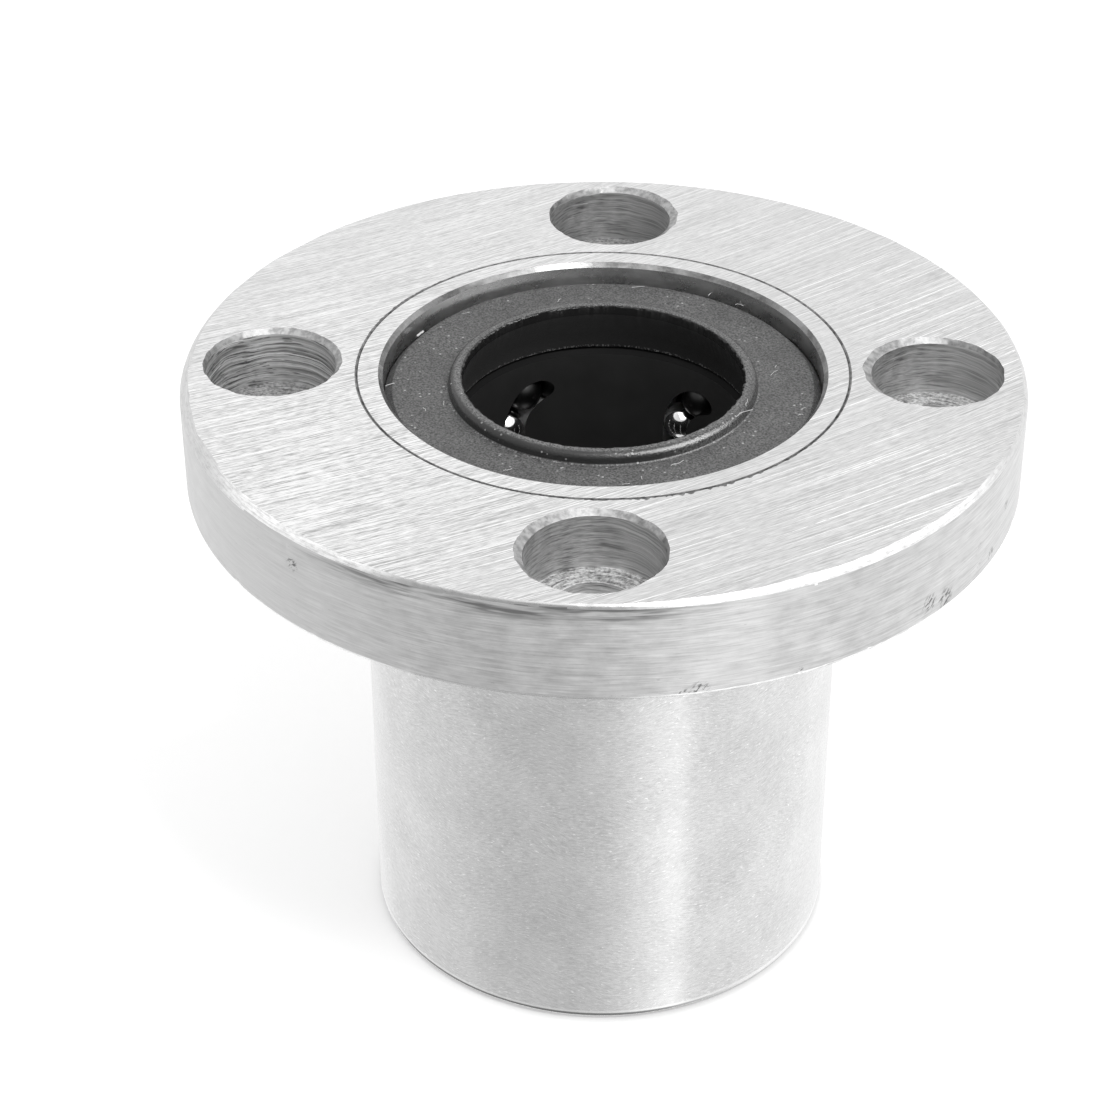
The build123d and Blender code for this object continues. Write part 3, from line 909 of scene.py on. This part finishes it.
def sleeve_finish(face):
    """Name of the finish of one face of the sleeve."""
    centre, up = face.center, face.normal.z
    radius = centre.xy.length
    if abs(up) > 0.97 and (centre.z > FLANGE_TOP - 0.01 * MM or centre.z < 0.01 * MM):
        return "surface_ground_steel"
    if radius > SLEEVE_R - 0.04 * MM and centre.z > FLANGE_TOP - 0.06 * MM:
        return "joint_dirt"
    if radius > SLEEVE_R - 0.01 * MM and abs(up) < 0.1:
        return "ground_sleeve_steel"
    if radius < 12.9 * MM and up > 0.5 and centre.z > FLANGE_TOP - 0.3 * MM:
        return "mouth_steel"
    # Painted shade: the base chamfer takes the dark, non-metallic scale.
    return "hardening_scale" if radius > 13.5 * MM else "recess_scale"


def finish_cad_nodes(finishes):
    """Give the carried-over CAD nodes their finishes."""
    names = [
        "surface_ground_steel", "joint_dirt", "ground_sleeve_steel", "mouth_steel", "hardening_scale",
        "recess_scale",
    ]
    set_finishes(frame["nodes"]["outer_sleeve"].data, finishes, names, sleeve_finish)
    by_slot = {
        "cage_resin": "moulded_resin", "spring_steel": "spring_ring_steel",
        "ball_steel": "polished_ball_steel",
    }
    for row in frame["record"]["subparts"]:
        look = by_slot.get(row["material_slot"])
        if look is None:
            continue
        data = frame["nodes"][row["node"]].data
        if "_turn_" in row["node"]:
            # Each turn's lowest ball keeps the bright mirror; the others take the dark copy, as painted
            # shade.
            lowest = min(data.vertices, key=lambda vertex: vertex.co.z).co
            glinting_ball = lowest + Vector((0, 0, BALL_R))
            balls = ["polished_ball_steel", "greased_ball_steel"]
            reach = 1.05 * BALL_R
            set_finishes(data, finishes, balls, lambda face: balls[(face.center - glinting_ball).length > reach])
            continue
        if row["node"] == "ball_retainer":
            # The retainer's ends take a darker copy of the resin, as painted shade.
            resins = ["moulded_resin", "resin_end"]
            set_finishes(data, finishes, resins, lambda face: resins[abs(face.center.z - MIDDLE) > 14.6 * MM])
            continue
        data.materials.clear()
        data.materials.append(finishes[look])


def lint_fibre(name, start, heading, length, thickness, rng):
    """One curled fibre that lies on a surface, as a thin mesh tube."""
    curve = bpy.data.curves.new(name, "CURVE")
    curve.dimensions = "3D"
    curve.bevel_depth = thickness / 2
    curve.bevel_resolution = 1
    spline = curve.splines.new("NURBS")
    count = 6
    spline.points.add(count - 1)
    point = Vector(start)
    for i in range(count):
        spline.points[i].co = (*point, 1)
        heading += rng.uniform(-0.5, 0.5)
        point = point + Vector((math.cos(heading), math.sin(heading), 0)) * length / (count - 1)
        point.z = start[2] + rng.uniform(0, 0.04) * MM
    spline.order_u = 3
    spline.use_endpoint_u = True
    holder = bpy.data.objects.new(name, curve)
    bpy.context.scene.collection.objects.link(holder)
    bpy.context.view_layer.update()
    mesh = bpy.data.meshes.new_from_object(holder.evaluated_get(bpy.context.evaluated_depsgraph_get()))
    bpy.data.objects.remove(holder)
    return mesh


def join_meshes(name, meshes):
    """One mesh from several."""
    shape = bmesh.new()
    for mesh in meshes:
        shape.from_mesh(mesh)
    joined = bpy.data.meshes.new(name)
    shape.to_mesh(joined)
    shape.free()
    return joined


def build_lint(finishes):
    """White fibres on the seal's face, and two shreds of flash on the front of its collar."""
    rng = random.Random(5)
    face = SEAL_FACE + 0.02 * MM
    crest = seal_high.z - 0.06 * MM
    meshes = []
    for i, (x, y, heading, length, thickness) in enumerate(FIBRES):
        height = crest if math.hypot(x, y) < 9 else face
        start = (x * MM, y * MM, height)
        turn = math.radians(heading)
        meshes.append(lint_fibre(f"fibre_{i}", start, turn, length * MM, thickness * MM, rng))
    for i in range(9):
        radius = rng.uniform(9.3, 11.8) * MM
        turn = rng.uniform(0, 2 * math.pi)
        start = (radius * math.cos(turn), radius * math.sin(turn), face)
        heading = rng.uniform(0, 6.28)
        length = rng.uniform(0.2, 0.5) * MM
        meshes.append(lint_fibre(f"lint_{i}", start, heading, length, 0.03 * MM, rng))
    mesh = join_meshes("seal_lint", meshes)
    mesh.materials.append(finishes["white_lint"])
    mesh.shade_smooth()
    new_piece("seal_lint", mesh, HOUSING)


def build_camera():
    """The photograph's camera: its place round the bearing, then the small turns that frame it."""
    data = bpy.data.cameras.new("photo_camera")
    data.sensor_width = SENSOR
    data.lens = FOCAL_PIXELS / PHOTO_PIXELS * SENSOR
    data.clip_start, data.clip_end = 0.01, 10
    back = Vector((0, -math.cos(CAMERA_ELEVATION), math.sin(CAMERA_ELEVATION)))
    right = Vector((1, 0, 0))
    up = back.cross(right)
    ahead = -back
    across = right * math.cos(CAMERA_PAN) - ahead * math.sin(CAMERA_PAN)
    ahead = right * math.sin(CAMERA_PAN) + ahead * math.cos(CAMERA_PAN)
    upright = up * math.cos(CAMERA_TILT) - ahead * math.sin(CAMERA_TILT)
    ahead = up * math.sin(CAMERA_TILT) + ahead * math.cos(CAMERA_TILT)
    side = across * math.cos(CAMERA_ROLL) + upright * math.sin(CAMERA_ROLL)
    top = upright * math.cos(CAMERA_ROLL) - across * math.sin(CAMERA_ROLL)
    turn = Matrix.Rotation(CAMERA_TURN, 3, "Z")
    axes = Matrix([turn @ side, turn @ top, turn @ -ahead]).transposed()
    camera = bpy.data.objects.new("photo_camera", data)
    camera.matrix_world = Matrix.Translation(turn @ (CAMERA_AIM + back * CAMERA_DISTANCE)) @ axes.to_4x4()
    bpy.context.scene.collection.objects.link(camera)
    bpy.context.scene.camera = camera


def studio_world():
    """Pale studio: white behind the part, even light, and soft bands round it for the metal to reflect."""
    world = bpy.data.worlds.new("studio")
    bpy.context.scene.world = world
    world.use_nodes = True
    tree = world.node_tree
    tree.nodes.clear()
    direction = add(tree, "TexCoord", output="Generated")
    ahead, aside = [add(tree, "SeparateXYZ", (direction,), output=axis) for axis in "XY"]
    azimuth = add(tree, "Math", (aside, ahead), operation="ARCTAN2")
    bands = add(tree, "ValToRGB", (add(tree, "MapRange", (azimuth, -math.pi, math.pi)),))
    ramp = bands.node.color_ramp
    while len(ramp.elements) > 1:
        ramp.elements.remove(ramp.elements[0])
    for i, (degrees, value) in enumerate(STUDIO_BANDS):
        position = (degrees - 180) / 360
        element = ramp.elements[0] if i == 0 else ramp.elements.new(position)
        element.position = position
        element.color = (value, value, value, 1)
    glossy_ray = add(tree, "LightPath", output="Is Glossy Ray")
    camera_ray = add(tree, "LightPath", output="Is Camera Ray")
    seen = add(tree, "Mix", {0: glossy_ray, 2: EVEN_LIGHT, 3: bands}, data_type="FLOAT")
    light = add(tree, "Mix", {0: camera_ray, 2: seen, 3: 1.0}, data_type="FLOAT")
    back = add(tree, "Background", {"Color": linear("#FFFFFF"), "Strength": light})
    add(tree, "OutputWorld", {"Surface": back})


def build_floor():
    """Pale floor that reads as white, keeps a soft shadow, and is clear when seen from below."""
    shape = bmesh.new()
    just_below = Matrix.Translation((0, 0, -0.02 * MM))
    bmesh.ops.create_grid(shape, x_segments=1, y_segments=1, size=2.0, matrix=just_below)
    mesh = bpy.data.meshes.new("floor")
    shape.to_mesh(mesh)
    shape.free()
    floor = bpy.data.objects.new("floor", mesh)
    bpy.context.scene.collection.objects.link(floor)
    floor.visible_glossy = False
    material = bpy.data.materials.new("floor_paper")
    material.use_nodes = True
    tree = material.node_tree
    tree.nodes.clear()
    paper = add(tree, "BsdfDiffuse", {"Color": linear("#E8E8E8")})
    camera_ray = add(tree, "LightPath", output="Is Camera Ray")
    lift = add(tree, "Emission", {"Strength": add(tree, "Math", (camera_ray, 0.35), operation="MULTIPLY")})
    both = add(tree, "AddShader", (paper, lift))
    from_below = add(tree, "NewGeometry", output="Backfacing")
    clear = add(tree, "BsdfTransparent")
    sheet = add(tree, "MixShader", (from_below, both, clear))
    add(tree, "OutputMaterial", {"Surface": sheet})
    mesh.materials.append(material)


def area_lamp(name, place_at, size, watts, only_glossy=False, only_on=()):
    """A soft square lamp aimed at the bearing. It may show only in reflections, or only on named pieces."""
    data = bpy.data.lights.new(name, "AREA")
    data.size = size
    data.energy = watts
    lamp = bpy.data.objects.new(name, data)
    lamp.location = place_at
    lamp.rotation_euler = (CAMERA_AIM - Vector(place_at)).to_track_quat("-Z", "Y").to_euler()
    lamp.visible_diffuse = not only_glossy
    bpy.context.scene.collection.objects.link(lamp)
    if only_on:
        receivers = bpy.data.collections.new(f"{name}_receivers")
        for piece_name in only_on:
            receivers.objects.link(bpy.data.objects[piece_name])
        lamp.light_linking.receiver_collection = receivers


def build_studio():
    """World, floor and lamps."""
    studio_world()
    build_floor()
    area_lamp("key_lamp", (0.16, -0.27, 0.53), 0.1, 0.85)
    seals = ("upper_seal_ring", "lower_seal_ring")
    area_lamp("right_softbox", (0.57, -0.15, 0.6), 0.7, 22.0, only_glossy=True, only_on=seals)
    area_lamp("overhead_softbox", (0.08, -0.24, 0.7), 0.8, 2.4, only_glossy=True)


bpy.context.scene.view_settings.view_transform = "Standard"
finishes = {
    "surface_ground_steel": surface_ground_steel(),
    "turned_steel": turned_steel(),
    "bore_wall_steel": bore_wall_steel("bore_wall_steel", 21, 0.25, "#868686", "#E2E2E2"),
    "ringed_bore_steel": bore_wall_steel("ringed_bore_steel", 25, 0.7, "#9A9A9A", "#F6F6F6"),
    "bore_floor_steel": bore_floor_steel("bore_floor_steel", "#7A7A7A", "#F0F0F0"),
    "shaded_floor_steel": bore_floor_steel("shaded_floor_steel", "#5E5E5E", "#C0C0C0"),
    "torn_edge_steel": torn_edge_steel(),
    "edge_break_steel": edge_break_steel(),
    "ground_sleeve_steel": ground_sleeve_steel(),
    # Painted shade on the base chamfer.
    "hardening_scale": hardening_scale("hardening_scale", 61, "#545454", "#747474", 0.0),
    "mouth_steel": hardening_scale("mouth_steel", 67, "#5E5E5E", "#9A9A9A"),
    "recess_scale": hardening_scale("recess_scale", 64, "#BABABA", "#CECECE"),
    "joint_dirt": joint_dirt(),
    "moulded_rubber": moulded_rubber("moulded_rubber", 0.45),
    "shaded_rubber": moulded_rubber("shaded_rubber", 0.2),
    "moulded_resin": moulded_resin("moulded_resin", "#2C2C2C", "#363636", 0.2, 1.0),
    # Darker copy of the resin: painted shade on the retainer's ends.
    "resin_end": moulded_resin("resin_end", "#1E1E1E", "#242424", 0.02, 0.0),
    "polished_ball_steel": polished_ball_steel("polished_ball_steel", "#E6E6E6", "#F4F4F4", 0.07),
    # Dark copy of the ball steel: painted shade.
    "greased_ball_steel": polished_ball_steel("greased_ball_steel", "#2E2E2E", "#444444", 0.34),
    "spring_ring_steel": spring_ring_steel(),
    "white_lint": white_lint(),
}
build_flange(finishes)
build_seals(finishes)
finish_cad_nodes(finishes)
build_lint(finishes)
build_camera()
build_studio()
